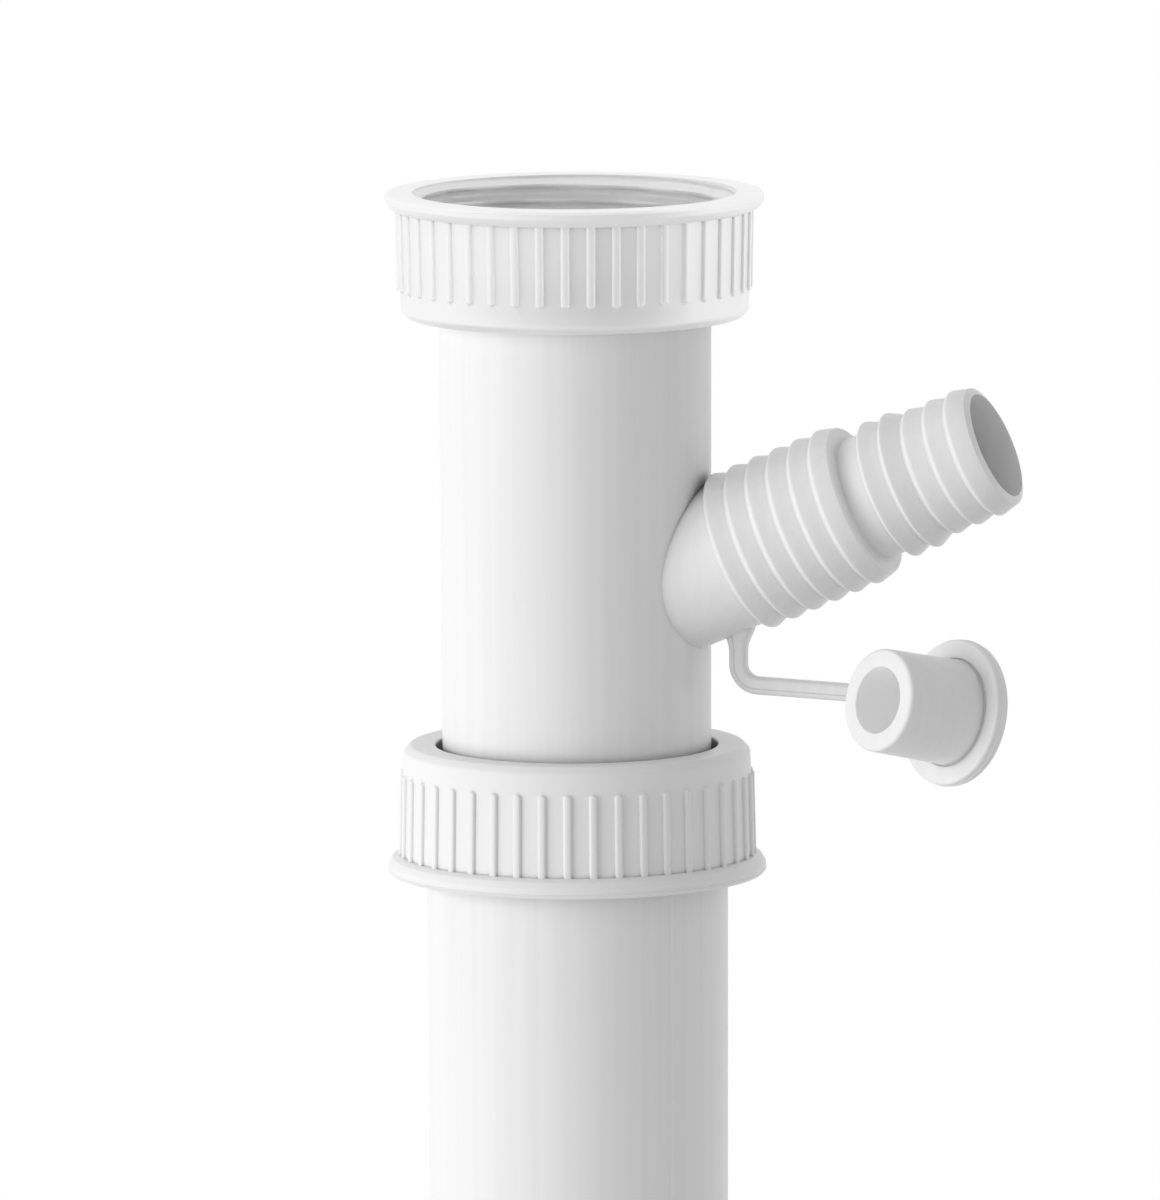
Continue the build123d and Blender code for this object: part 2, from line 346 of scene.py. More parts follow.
def ribbed(r, z, a, height, rim_height):
    """Raises the ribs on a nut's outside: slightly crowned crests, round shoulders and round ends."""
    turn = (a - RIB_START) / RIB_PITCH
    across = (turn - np.round(turn)) * RIB_PITCH * BODY_TOP_R
    end_centre = -(height - RIB_MARGIN - RIB_HALF_WIDTH)
    below = np.clip(end_centre - z, 0, None)
    from_spine = np.sqrt(across ** 2 + below ** 2)
    proud = RIB_PROUD * np.interp(from_spine, RIB_KNOTS + [RIB_FOOT], RIB_SHARES + [0.0])
    on_body = (r > BODY_END_R - 0.6) & (r < BODY_TOP_R + 0.05) & (z < -rim_height + 0.2)
    return np.where(on_body, r + proud, r)


def threaded(r, z, a):
    """Cuts the thread's turns into a nut's inside."""
    wave = 0.5 + 0.5 * np.cos(FULL_TURN * (z / THREAD_PITCH - a / FULL_TURN))
    crest = np.clip(wave * 1.25 - 0.06, 0, 1)
    fade_in = smooth_step((-z - THREAD_START + THREAD_RUN_IN) / THREAD_RUN_IN)
    fade_out = smooth_step((THREAD_END + THREAD_RUN_OUT + z) / THREAD_RUN_OUT)
    cut = THREAD_MAJOR_R - (THREAD_MAJOR_R - THREAD_MINOR_R) * crest * (fade_in * fade_out)
    on_bore = (r < THREAD_MAJOR_R + 0.01) & (r > THREAD_MINOR_R - 0.2)
    in_reach = (z < -0.05) & (z > -RELIEF_TOP - 0.01)
    return np.where(on_bore & in_reach, cut, r)


def nut_profile(height, rim_height, flash):
    """Closed outline of a nut's wall, with the mould's flash line as a fine ridge round the rim."""
    lean = (BODY_TOP_R - BODY_END_R) / (height - rim_height)
    rib_end = height - RIB_MARGIN
    rim = rounded([
        (LIP_R - 0.02, -0.35, 0),
        (LIP_R, 0.0, 0.25),
        (RIM_R - 0.35 - flash, 0.0, 0.3),
        (RIM_R - flash, -FLASH_LEVEL + FLASH_HALF_WIDTH, 0.1),
        (RIM_R, -FLASH_LEVEL, 0.03),
        (RIM_R - flash, -FLASH_LEVEL - FLASH_HALF_WIDTH, 0.1),
        (RIM_R - 0.05, -rim_height * 0.5, 0.8),
        (RIM_R - 0.6, -rim_height * 0.86, 0.5),
        (BODY_TOP_R + 0.62, -rim_height - 0.02, 0.18),
        (BODY_TOP_R, -rim_height - 0.12, 0),
    ], 5)
    stops = list(np.linspace(rim_height + 0.3, rib_end - 0.8, 7))
    stops += list(np.linspace(rib_end - RIB_HALF_WIDTH, rib_end + 0.1, 9))
    stops += [rib_end + 0.65, height - 2.4]
    body = [(BODY_TOP_R - lean * (s - rim_height), -s) for s in stops]
    end = rounded([
        body[-1] + (0,),
        (BODY_END_R, -height + 1.0, 0.9),
        (BODY_END_R - 1.0, -height, 0.7),
        (HOLE_R, -height, 0.4),
        (HOLE_R, -height + END_WALL, 0.2),
        (RELIEF_R, -height + END_WALL, 0.3),
        (RELIEF_R, -RELIEF_TOP - 0.1, 0),
        (THREAD_MAJOR_R, -RELIEF_TOP, 0),
    ])
    thread = [(THREAD_MAJOR_R, -s) for s in np.linspace(RELIEF_TOP - 0.15, 0.55, THREAD_ROWS)]
    return rim + body + end[1:] + thread


def make_nut(name, node, body, matrix, height, rim_height, flash):
    """A union nut with ribs outside and a thread inside."""
    angles = nut_angles()
    profile = nut_profile(height, rim_height, flash)
    r = np.array([p[0] for p in profile])[:, None] * np.ones(len(angles))[None, :]
    z = np.array([p[1] for p in profile])[:, None] * np.ones(len(angles))[None, :]
    a = angles[None, :]
    r = threaded(ribbed(r, z, a, height, rim_height), z, a)
    verts = np.stack([r * np.cos(a), r * np.sin(a), z], axis=-1).reshape(-1, 3) * MM
    faces = grid_faces(len(profile), len(angles), True)
    obj = make_object(name, [matrix @ Vector(v) for v in verts], faces, NUT_SHARP)
    face_outward(obj)
    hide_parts(node)
    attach(obj, body)
    return obj


def place(x, level, turn=0.0, flip=False):
    """Where a nut's mouth goes, turned about its axis and flipped when it opens downwards."""
    matrix = Matrix.Translation(Vector((x, 0, level)) * MM) @ Matrix.Rotation(turn, 4, "Z")
    if flip:
        matrix = matrix @ Matrix.Rotation(math.pi, 4, "X")
    return matrix


inlet_nut = make_nut(
    "inlet_nut_moulding", "inlet_nut", "inlet_nut", place(0, 0),
    INLET_NUT_HEIGHT, INLET_RIM_HEIGHT, INLET_FLASH,
)
leg_nut = make_nut(
    "leg_nut_moulding", "leg_nut", "leg_nut",
    place(0, LEG_NUT_TOP - JOINT_NUT_HEIGHT, 2 * RIB_START, True),
    JOINT_NUT_HEIGHT, JOINT_RIM_HEIGHT, JOINT_FLASH,
)
outlet_nut = make_nut(
    "outlet_nut_moulding", "outlet_nut", "outlet_nut",
    place(RISE_X, OUTLET_NUT_TOP - JOINT_NUT_HEIGHT, 0, True),
    JOINT_NUT_HEIGHT, JOINT_RIM_HEIGHT, JOINT_FLASH,
)


# Inlet pipe
def pipe_r(level):
    """The pipe's radius at a level; it narrows slightly downwards."""
    return PIPE_TOP_R - PIPE_TAPER * (COLLAR_BASE - level)


def make_tube():
    """The pipe with its collar, still solid."""
    return lathe("inlet_pipe_moulding", rounded([
        (0, COLLAR_TOP, 0),
        (COLLAR_R, COLLAR_TOP, 0.3),
        (COLLAR_R, COLLAR_BASE, 0.3),
        (pipe_r(COLLAR_BASE), COLLAR_BASE, 0.3),
        (pipe_r(PIPE_MIDDLE), PIPE_MIDDLE, 0),
        (pipe_r(PIPE_END), PIPE_END, 0.8),
        (0, PIPE_END, 0),
    ]), even_angles(PIPE_COLUMNS))


spigot_matrix = (
    Matrix.Translation(Vector((0, 0, SPIGOT_LEVEL)) * MM)
    @ Matrix.Rotation(math.pi / 2 - SPIGOT_RISE, 4, "Y")
)


def barbs(start, count, pitch, crest, root, edge, taper=0.0, first=None):
    """Foot and crest corners of a run of barbs, whose first foot may differ in radius and rounding."""
    points = []
    for k in range(count):
        foot = start + k * pitch
        foot_r, foot_edge = first if first and k == 0 else (root, BARB_FOOT_EDGE)
        points.append((foot_r, foot, foot_edge))
        points.append((crest - k * taper, foot + BARB_LEAD, edge))
    return points


def make_spigot():
    """The barbed spigot, still solid: six large barbs, a waist, two middle and three small barbs."""
    points = [(0, SPIGOT_START, 0), (SPIGOT_NECK_R, SPIGOT_START, 0)]
    points += barbs(
        LARGE_BARB_START, 6, LARGE_BARB_PITCH, LARGE_BARB_R, SPIGOT_ROOT_R, 0.6,
        LARGE_BARB_TAPER, (SPIGOT_NECK_R, BARB_FOOT_EDGE),
    )
    points += [
        (11.45, LARGE_BARB_END, 0.12),
        (11.15, LARGE_BARB_END + 0.32, 0.1),
        (WAIST_R, LARGE_BARB_END + 0.38, 0.2),
    ]
    points += barbs(
        MIDDLE_BARB_START, 2, SMALL_BARB_PITCH, MIDDLE_BARB_R, MIDDLE_ROOT_R, 0.4, first=(WAIST_R, 0.3),
    )
    points += barbs(SMALL_BARB_START, 3, SMALL_BARB_PITCH, SMALL_BARB_R, SMALL_ROOT_R, 0.6)
    points += [
        (SMALL_ROOT_R + 0.04, SPIGOT_TIP - 0.45, 0.15),
        (SPIGOT_LIP_R, SPIGOT_TIP, 0.08),
        (0, SPIGOT_TIP, 0),
    ]
    return lathe("spigot", rounded(points, 5), even_angles(SPIGOT_COLUMNS), spigot_matrix)


def make_spigot_bore():
    """What is cut out of the spigot: its bore, the wider mouth and the mouth's lip."""
    return lathe("spigot_bore", rounded([
        (0, 2.0, 0),
        (SPIGOT_BORE_R, 2.0, 0),
        (SPIGOT_BORE_R, SPIGOT_MOUTH, 0),
        (SPIGOT_MOUTH_R, SPIGOT_MOUTH, 0),
        (SPIGOT_MOUTH_R, SPIGOT_TIP - 0.15, 0),
        (SPIGOT_LIP_R, SPIGOT_TIP + 0.05, 0),
        (SPIGOT_LIP_R, SPIGOT_TIP + 3.55, 0),
        (0, SPIGOT_TIP + 3.55, 0),
    ]), even_angles(SPIGOT_BORE_COLUMNS), spigot_matrix)


plug_direction = Vector((
    math.cos(PLUG_TILT) * math.cos(PLUG_BEARING),
    math.cos(PLUG_TILT) * math.sin(PLUG_BEARING),
    math.sin(PLUG_TILT),
))
strap_root = SPIGOT_LEVEL + STRAP_X * math.tan(SPIGOT_RISE) - SPIGOT_ROOT_R / math.cos(SPIGOT_RISE)


def strap_line():
    """Centre points down from the spigot, round a bend and across to the flange's edge."""
    top = Vector((STRAP_X, 0, strap_root + STRAP_RISE))
    corner = Vector((STRAP_X, 0, SPIGOT_LEVEL - STRAP_DROP))
    flange_middle = PLUG_CENTRE - plug_direction * (FLANGE_DEPTH / 2)
    aim = Vector((-1, 0, STRAP_LIFT))
    aim = (aim - plug_direction * aim.dot(plug_direction)).normalized()
    tip = flange_middle + aim * (STRAP_SINK * FLANGE_R)
    a = (top - corner).normalized()
    b = (tip - corner).normalized()
    half = a.angle(b) / 2
    reach = STRAP_BEND_R / math.tan(half)
    middle = corner + (a + b).normalized() * STRAP_BEND_R / math.sin(half)
    start = corner + a * reach
    end = corner + b * reach
    shares = np.linspace(0, 1, 13)
    points = [top + (start - top) * t for t in np.linspace(0, 1, STRAP_ROOT_ROWS)[:-1]]
    points += arc(middle, (start - middle).normalized(), (end - middle).normalized(), STRAP_BEND_R, shares)
    points += [end + (tip - end) * t for t in shares[1:]]
    return points


def strap_section():
    """Rounded section with a fine seam along the front, near the outer edge."""
    points = []
    front = -STRAP_DEPTH / 2
    for cx, cy, start in ((1, 1, 0), (-1, 1, 90), (-1, -1, 180), (1, -1, 270)):
        if start == 270:
            seam = STRAP_WIDTH / 2 - STRAP_EDGE - STRAP_SEAM_HALF
            points.append((seam - STRAP_SEAM_HALF, front))
            points.append((seam, STRAP_SEAM + front))
            points.append((seam + STRAP_SEAM_HALF, front))
        for k in range(6):
            angle = math.radians(start + k * 18)
            points.append((
                cx * (STRAP_WIDTH / 2 - STRAP_EDGE) + STRAP_EDGE * math.cos(angle),
                cy * (STRAP_DEPTH / 2 - STRAP_EDGE) + STRAP_EDGE * math.sin(angle),
            ))
    return points


def make_strap():
    """The strap, widening where it leaves the spigot."""
    line = strap_line()
    section = strap_section()
    verts = []
    for i, p in enumerate(line):
        along = (line[min(i + 1, len(line) - 1)] - line[max(i - 1, 0)]).normalized()
        side = Vector((0, 1, 0))
        side = (side - along * side.dot(along)).normalized()
        out = side.cross(along).normalized()
        grow = 1.0
        if i < STRAP_ROOT_ROWS:
            drop = max(strap_root - p.z + STRAP_FLARE_START, 0)
            grow += STRAP_FLARE * max(0.0, 1 - drop / STRAP_FLARE_LENGTH) ** 2
        verts += [(p + out * a * grow + side * b * grow) * MM for a, b in section]
    count = len(section)
    faces = grid_faces(len(line), count, False)
    faces.append(tuple(range(count)))
    faces.append(tuple(reversed(range(len(verts) - count, len(verts)))))
    obj = make_object("strap", verts, faces)
    face_outward(obj)
    return obj


def make_plug():
    """The plug: a flange with a seam round its edge, and a hollow barrel."""
    turn = plug_direction.to_track_quat("Z", "Y").to_matrix().to_4x4()
    return lathe("plug", rounded([
        (0, -FLANGE_BACK, 0),
        (FLANGE_R - 0.1, -FLANGE_BACK, 0.6),
        (FLANGE_R, -1.4, 0.05),
        (FLANGE_R + 0.1, -FLANGE_DEPTH / 2, 0.04),
        (FLANGE_R, -1.13, 0.05),
        (FLANGE_R, 0.0, 0.5),
        (BARREL_BASE_R + 0.28, -0.26, 0.1),
        (BARREL_BASE_R + 0.1, -0.36, 0.05),
        (BARREL_BASE_R, -0.26, 0.06),
        (BARREL_TIP_R, BARREL_LENGTH, 0.6),
        (BARREL_BORE_R, BARREL_LENGTH, 0.15),
        (BARREL_FLOOR_R, 0.9, 0.6),
        (0, 0.8, 0),
    ], 5), even_angles(PLUG_COLUMNS), Matrix.Translation(PLUG_CENTRE * MM) @ turn)


def make_bore():
    """What is cut out of the pipe."""
    above = 2.0
    below = -170.0
    profile = [(0, above), (PIPE_BORE_R, above), (PIPE_BORE_R, below), (0, below)]
    return lathe("bore", profile, even_angles(PIPE_COLUMNS))


tube = make_tube()
boolean(tube, make_spigot(), "UNION")
boolean(tube, make_strap(), "UNION")
boolean(tube, make_plug(), "UNION")
boolean(tube, make_bore(), "DIFFERENCE")
boolean(tube, make_spigot_bore(), "DIFFERENCE")
tube.data.shade_smooth()
tube.data.set_sharp_from_angle(angle=math.radians(PIPE_SHARP))
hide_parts("inlet_pipe")
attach(tube, "inlet_pipe")

# Trap bend, along its line from the leg's mouth
leg_length = LEG_MOUTH - BEND_LEVEL
leg_end_r = LEG_TOP_R - LEG_TAPER * leg_length
bend_bore_r = leg_end_r - LEG_WALL
bend_length = math.pi * BEND_R
rise_length = RISE_MOUTH - BEND_LEVEL
bend_total = leg_length + bend_length + rise_length


def bend_frame(s):
    """Centre and ring axes at a distance from the leg's mouth."""
    if s <= leg_length:
        return (0, 0, LEG_MOUTH - s), (1, 0, 0), (0, 1, 0)
    if s <= leg_length + bend_length:
        t = (s - leg_length) / BEND_R
        centre = (-BEND_R + BEND_R * math.cos(t), 0, BEND_LEVEL - BEND_R * math.sin(t))
        return centre, (math.cos(t), 0, -math.sin(t)), (0, 1, 0)
    up = s - leg_length - bend_length
    return (RISE_X, 0, BEND_LEVEL + up), (-1, 0, 0), (0, 1, 0)


def male_thread():
    """Rounded thread crests, drawn as rings, on a socket's outside."""
    points = []
    length = MALE_CREST_END - MALE_CREST_START
    count = int(round(length / THREAD_PITCH * MALE_STEPS))
    for k in range(count + 1):
        s = MALE_CREST_START + length * k / count
        wave = math.cos(FULL_TURN * (s - MALE_CREST_START) / THREAD_PITCH)
        points.append((s, MALE_R - MALE_WAVE + MALE_WAVE * wave))
    return points


def bend_outside():
    """Distances and radii along the bend's outside."""
    leg = [(s, LEG_TOP_R - LEG_TAPER * s) for s in np.linspace(LEG_START, leg_length, 30)]
    bend = [(leg_length + t * bend_length, leg_end_r) for t in np.linspace(0, 1, BEND_ROWS)[1:]]
    back = bend_total - MALE_END
    rise = [
        (s, leg_end_r + LEG_TAPER * (s - leg_length - bend_length))
        for s in np.linspace(bend_total - rise_length + 2, back - 0.5, 6)
    ]
    thread = male_thread()
    points = [(0.0, SEAT_R), (0.0, MOUTH_R), (0.35, MALE_R)] + thread
    points += [(MALE_END - 0.4, MALE_R - 0.1), (MALE_END, MALE_END_R)] + leg + bend + rise
    points += [(back, leg_end_r + 0.05), (back + 0.4, MALE_R - 0.1)]
    points += [(bend_total - s, r) for s, r in reversed(thread)]
    points += [(bend_total - 0.35, MALE_R), (bend_total, MOUTH_R), (bend_total, SEAT_R)]
    return points


def bend_inside():
    """Distances and radii along the bend's inside, from the rising leg's mouth back to the leg's."""
    points = [(bend_total - SEAT_DEPTH, SOCKET_BORE_R), (bend_total - RISE_SOCKET, SOCKET_BORE_R)]
    points += [(bend_total - (RISE_SOCKET + SOCKET_RUN), bend_bore_r)]
    points += [(bend_total - rise_length + 2, bend_bore_r)]
    points += [(leg_length + t * bend_length, bend_bore_r) for t in np.linspace(1, 0, BEND_ROWS)]
    points += [(LEG_SOCKET + SOCKET_RUN, bend_bore_r), (LEG_SOCKET, SOCKET_BORE_R)]
    points += [(SEAT_DEPTH, SOCKET_BORE_R)]
    return points


def bend_angles():
    """Even angles, and closer ones across the two mould lines."""
    angles = list(even_angles(BEND_COLUMNS))
    for seam in (SEAM_ANGLE, SEAM_ANGLE + math.pi):
        for offset in (-SEAM_HALF_WIDTH, -0.12, 0.0, 0.12, SEAM_HALF_WIDTH):
            angles.append((seam + offset / SEAM_R) % FULL_TURN)
    return np.array(sorted(set(round(a, 6) for a in angles)))


def seam_bump(angles):
    """Height of the two mould lines at each angle."""
    height = np.zeros_like(angles)
    for seam in (SEAM_ANGLE, SEAM_ANGLE + math.pi):
        off = np.abs((angles - seam + math.pi) % FULL_TURN - math.pi) * SEAM_R
        height += SEAM_PROUD * np.clip(1 - off / SEAM_HALF_WIDTH, 0, 1)
    return height


rings = [(*bend_frame(s), r, SEAM_START < s < bend_total - SEAM_START) for s, r in bend_outside()]
rings += [(*bend_frame(s), r, False) for s, r in bend_inside()]
trap_bend = ring_sweep("trap_bend_moulding", rings, bend_angles(), seam_bump, BEND_SHARP)
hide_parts("trap_bend")
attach(trap_bend, "trap_bend")

# Outlet pipe, along its line from its foot in the rising leg
stem = ELBOW_START - OUTLET_FOOT
elbow_length = math.pi / 2 * ELBOW_R
outlet_total = stem + elbow_length + OUTLET_LENGTH


def outlet_frame(s):
    """Centre and ring axes at a distance from the outlet pipe's foot."""
    if s <= stem:
        return (RISE_X, 0, OUTLET_FOOT + s), (-1, 0, 0), (0, 1, 0)
    if s <= stem + elbow_length:
        t = (s - stem) / ELBOW_R
        centre = (RISE_X - ELBOW_R + ELBOW_R * math.cos(t), 0, ELBOW_START + ELBOW_R * math.sin(t))
        return centre, (-math.cos(t), 0, -math.sin(t)), (0, 1, 0)
    along = s - stem - elbow_length
    return (RISE_X - ELBOW_R - along, 0, ELBOW_START + ELBOW_R), (0, 0, -1), (0, 1, 0)


def outlet_line():
    """Distances and radii along the outlet pipe's outside and back along its inside."""
    elbow_end = stem + elbow_length
    points = [(0, OUTLET_BORE_R + 0.3), (0, OUTLET_R - 0.4), (0.4, OUTLET_R)]
    points += [(s, OUTLET_R) for s in np.linspace(2, stem, 6)]
    points += [(stem + t * elbow_length, OUTLET_R) for t in np.linspace(0, 1, ELBOW_ROWS)[1:]]
    points += [(s, OUTLET_R) for s in np.linspace(elbow_end + 4, outlet_total - 1.0, 12)]
    points += [(outlet_total, OUTLET_R - 1.0), (outlet_total, OUTLET_BORE_R + 0.2)]
    points += [(outlet_total - 0.3, OUTLET_BORE_R)]
    points += [(s, OUTLET_BORE_R) for s in np.linspace(outlet_total - 4, elbow_end + 2, 4)]
    points += [(stem + t * elbow_length, OUTLET_BORE_R) for t in np.linspace(1, 0, ELBOW_ROWS)]
    points += [(2.0, OUTLET_BORE_R)]
    return points


rings = [(*outlet_frame(s), r, False) for s, r in outlet_line()]
outlet_pipe = ring_sweep("outlet_pipe_moulding", rings, even_angles(OUTLET_COLUMNS))
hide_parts("outlet_pipe")
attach(outlet_pipe, "outlet_pipe")

# Materials: a Mix node's colour sockets share their names with others, so they go by number
FIRST_COLOUR = 6
SECOND_COLOUR = 7
MIXED_COLOUR = 2
PAINT = (0.80, 0.80, 0.80)
MILK = (0.76, 0.76, 0.76)
# Painted shade: the slip rings are black so that the gap round the pipe under each joint nut shows dark
SLIP_RING_GAP_SHADE_BLACK = (0.03, 0.03, 0.03)
RUBBER_BLACK = (0.02, 0.02, 0.02)
REFRACTION = 1.49
CLOUD_SCALE = 22.0
DARK_CLOUD = 0.985
LIGHT_CLOUD = 1.01
ROUGHNESS_SPREAD = 0.04
GRAIN_SCALE = 1400.0
GRAIN_HEIGHT = 0.00002
STREAK_SCALE = 650.0
STREAK_STRETCH = 0.012

# Painted shade in corners and gaps, multiplied into the base colour: distance in metres, darkest factor,
# and how open a place is when it has none
FINE_PAINTED_SHADE = (0.0008, 0.25, 0.8)
DEEP_GAP_PAINTED_SHADE = (0.003, 0.3, 0.45)
WHITE_PAINTED_SHADE = (FINE_PAINTED_SHADE, DEEP_GAP_PAINTED_SHADE)
MILKY_PAINTED_SHADE = ((0.0008, 0.3, 0.8),)


def add(tree, kind, values=None, operation=None):
    """A new shader node, with its input values by name or number."""
    node = tree.nodes.new("ShaderNode" + kind)
    if operation is not None:
        node.operation = operation
    for key, value in (values or {}).items():
        node.inputs[key].default_value = value
    return node


def scaled(tree, value, low, high, start=0.0, end=1.0):
    """A value from start to end, mapped to low to high."""
    node = add(tree, "MapRange", {"From Min": start, "From Max": end, "To Min": low, "To Max": high})
    tree.links.new(value, node.inputs["Value"])
    return node.outputs["Result"]


def vector_step(tree, operation, first, second=None):
    """A vector operation on a linked vector and a fixed one."""
    node = add(tree, "VectorMath", operation=operation)
    tree.links.new(first, node.inputs[0])
    if second is not None:
        node.inputs[1].default_value = second
    return node.outputs["Value" if operation in ("LENGTH", "DOT_PRODUCT") else "Vector"]


def combine(tree, operation, first, second):
    """A sum, product or the like of two linked values."""
    node = add(tree, "Math", operation=operation)
    tree.links.new(first, node.inputs[0])
    tree.links.new(second, node.inputs[1])
    return node.outputs["Value"]


def noise(tree, where, scale, detail):
    """Cloudy values over the surface."""
    node = add(tree, "TexNoise", {"Scale": scale, "Detail": detail})
    tree.links.new(where, node.inputs["Vector"])
    return node.outputs["Fac"]


def shaded(tree, paint, factor):
    """A fixed or linked colour times a factor."""
    mix = add(tree, "Mix", {0: 1.0})
    mix.data_type = "RGBA"
    mix.blend_type = "MULTIPLY"
    if isinstance(paint, tuple):
        mix.inputs[FIRST_COLOUR].default_value = (*paint, 1)
    else:
        tree.links.new(paint, mix.inputs[FIRST_COLOUR])
    tree.links.new(factor, mix.inputs[SECOND_COLOUR])
    return mix.outputs[MIXED_COLOUR]


def painted_crevice_shade(tree, distance, darkest, open_at):
    """A painted-shade factor for the base colour, which falls towards the darkest value in corners and
    gaps less open than a share.
    """
    shade = add(tree, "AmbientOcclusion", {"Distance": distance})
    shade.samples = 4
    return scaled(tree, shade.outputs["AO"], darkest, 1.0, 0.1, open_at)


def plastic(name, colour, roughness, grain, glow=0.0, reach=0.0015, painted_shades=(), streaks=0.0):
    """Moulded plastic: cloudy tone, fine grain, painted shade in crevices, faint streaks and light let in.
    """
    material = bpy.data.materials.new(name)
    material.use_nodes = True
    tree = material.node_tree
    shader = tree.nodes["Principled BSDF"]
    coords = add(tree, "TexCoord").outputs["Object"]
    cloud = noise(tree, coords, CLOUD_SCALE, 3.0)
    paint = shaded(tree, colour, scaled(tree, cloud, DARK_CLOUD, LIGHT_CLOUD))
    if streaks > 0:
        stretched = vector_step(tree, "MULTIPLY", coords, (1, 1, STREAK_STRETCH))
        drawn = noise(tree, stretched, STREAK_SCALE, 3.0)
        paint = shaded(tree, paint, scaled(tree, drawn, 1.0 - streaks, 1.0 + streaks, 0.3, 0.7))
    # Painted shade: each entry darkens the base colour in corners and gaps
    for distance, darkest, open_at in painted_shades:
        paint = shaded(tree, paint, painted_crevice_shade(tree, distance, darkest, open_at))
    satin = scaled(tree, cloud, roughness - ROUGHNESS_SPREAD, roughness + ROUGHNESS_SPREAD)
    bump = add(tree, "Bump", {"Strength": grain, "Distance": GRAIN_HEIGHT})
    tree.links.new(noise(tree, coords, GRAIN_SCALE, 2.0), bump.inputs["Height"])
    tree.links.new(paint, shader.inputs["Base Color"])
    tree.links.new(satin, shader.inputs["Roughness"])
    tree.links.new(bump.outputs["Normal"], shader.inputs["Normal"])
    shader.inputs["IOR"].default_value = REFRACTION
    if glow > 0:
        shader.inputs["Subsurface Weight"].default_value = glow
        shader.inputs["Subsurface Radius"].default_value = (1.0, 0.98, 0.95)
        shader.inputs["Subsurface Scale"].default_value = reach
    return material


def pearl(material, most, bore):
    """Broad pale sheen of unpigmented plastic, fuller towards the turned-away sides, less in the bore."""
    tree = material.node_tree
    gloss = add(tree, "BsdfGlossy", {"Color": (0.95, 0.95, 0.95, 1), "Roughness": 0.5})
    facing = add(tree, "LayerWeight", {"Blend": 0.5})
    amount = scaled(tree, facing.outputs["Facing"], 0.12, most, 0.02, 0.3)
    coords = add(tree, "TexCoord").outputs["Object"]
    across = vector_step(tree, "MULTIPLY", coords, (1, 1, 0))
    from_axis = vector_step(tree, "LENGTH", across)
    outside = scaled(tree, from_axis, 0.55, 1.0, bore - 0.0001, bore + 0.0001)
    mix = add(tree, "MixShader")
    tree.links.new(combine(tree, "MULTIPLY", amount, outside), mix.inputs["Fac"])
    tree.links.new(tree.nodes["Principled BSDF"].outputs["BSDF"], mix.inputs[1])
    tree.links.new(gloss.outputs["BSDF"], mix.inputs[2])
    tree.links.new(mix.outputs["Shader"], tree.nodes["Material Output"].inputs["Surface"])


def paint_light_inside(material, centre, axis, radius, colour):
    """Painted light: a lighter base colour in front of a centre and within a radius of its axis, which
    brightens a bore's inside.
    """
    tree = material.node_tree
    coords = add(tree, "TexCoord").outputs["Object"]
    offset = vector_step(tree, "SUBTRACT", coords, centre)
    from_axis = vector_step(tree, "LENGTH", vector_step(tree, "CROSS_PRODUCT", offset, axis))
    near = scaled(tree, from_axis, 0.0, 1.0, radius + 0.00003, radius - 0.00003)
    ahead_of = scaled(tree, vector_step(tree, "DOT_PRODUCT", offset, axis), 0.0, 1.0, 0.0, 0.0003)
    layer = add(tree, "Mix")
    layer.data_type = "RGBA"
    layer.inputs[SECOND_COLOUR].default_value = (*colour, 1)
    base = tree.nodes["Principled BSDF"].inputs["Base Color"]
    tree.links.new(combine(tree, "MULTIPLY", near, ahead_of), layer.inputs[0])
    tree.links.new(base.links[0].from_socket, layer.inputs[FIRST_COLOUR])
    tree.links.new(layer.outputs[MIXED_COLOUR], base)


def dress(obj, material):
    """Gives a piece its one material."""
    obj.data.materials.clear()
    obj.data.materials.append(material)


# The white and milky plastics carry painted shade in their corners and gaps
white = plastic("white_polypropylene", PAINT, 0.36, 0.25, 0.1, 0.0007, WHITE_PAINTED_SHADE)
pipe_white = plastic("white_pipe", PAINT, 0.36, 0.25, 0.15, 0.0008, WHITE_PAINTED_SHADE, 0.02)
bend_white = plastic("white_bend", PAINT, 0.36, 0.25, 0.25, 0.001, WHITE_PAINTED_SHADE, 0.02)
milky = plastic("milky_polypropylene", MILK, 0.5, 0.25, 1.0, 0.004, MILKY_PAINTED_SHADE)
pearl(milky, 0.85, 0.0239)
# Painted light: a lighter base colour inside the inlet nut's mouth and inside the plug's hole
paint_light_inside(milky, (0, 0, -0.0003), (0, 0, -1), 0.0243, (0.98, 0.98, 0.98))
paint_light_inside(pipe_white, PLUG_CENTRE * MM, plug_direction, 0.00497, (0.97, 0.97, 0.97))
# Painted shade: black slip rings darken the gap under each joint nut
gap_shade_ring = plastic("slip_ring_painted_gap_shade", SLIP_RING_GAP_SHADE_BLACK, 0.45, 0.3)
rubber = plastic("black_rubber", RUBBER_BLACK, 0.7, 0.6)
for obj in (leg_nut, outlet_nut, outlet_pipe):
    dress(obj, white)
dress(tube, pipe_white)
dress(trap_bend, bend_white)
dress(inlet_nut, milky)
for name in ("inlet_washer", "leg_seal", "outlet_seal"):
    dress(nodes[name], rubber)
for name in ("leg_slip_ring", "outlet_slip_ring"):
    dress(nodes[name], gap_shade_ring)

# Floor, in metres
FLOOR_CENTRE = (-0.07, 0, -0.5)
FLOOR_R = 0.9
FLOOR_RINGS = 6
FLOOR_COLUMNS = 96
FADE_START = 0.35
FADE_END = 0.85


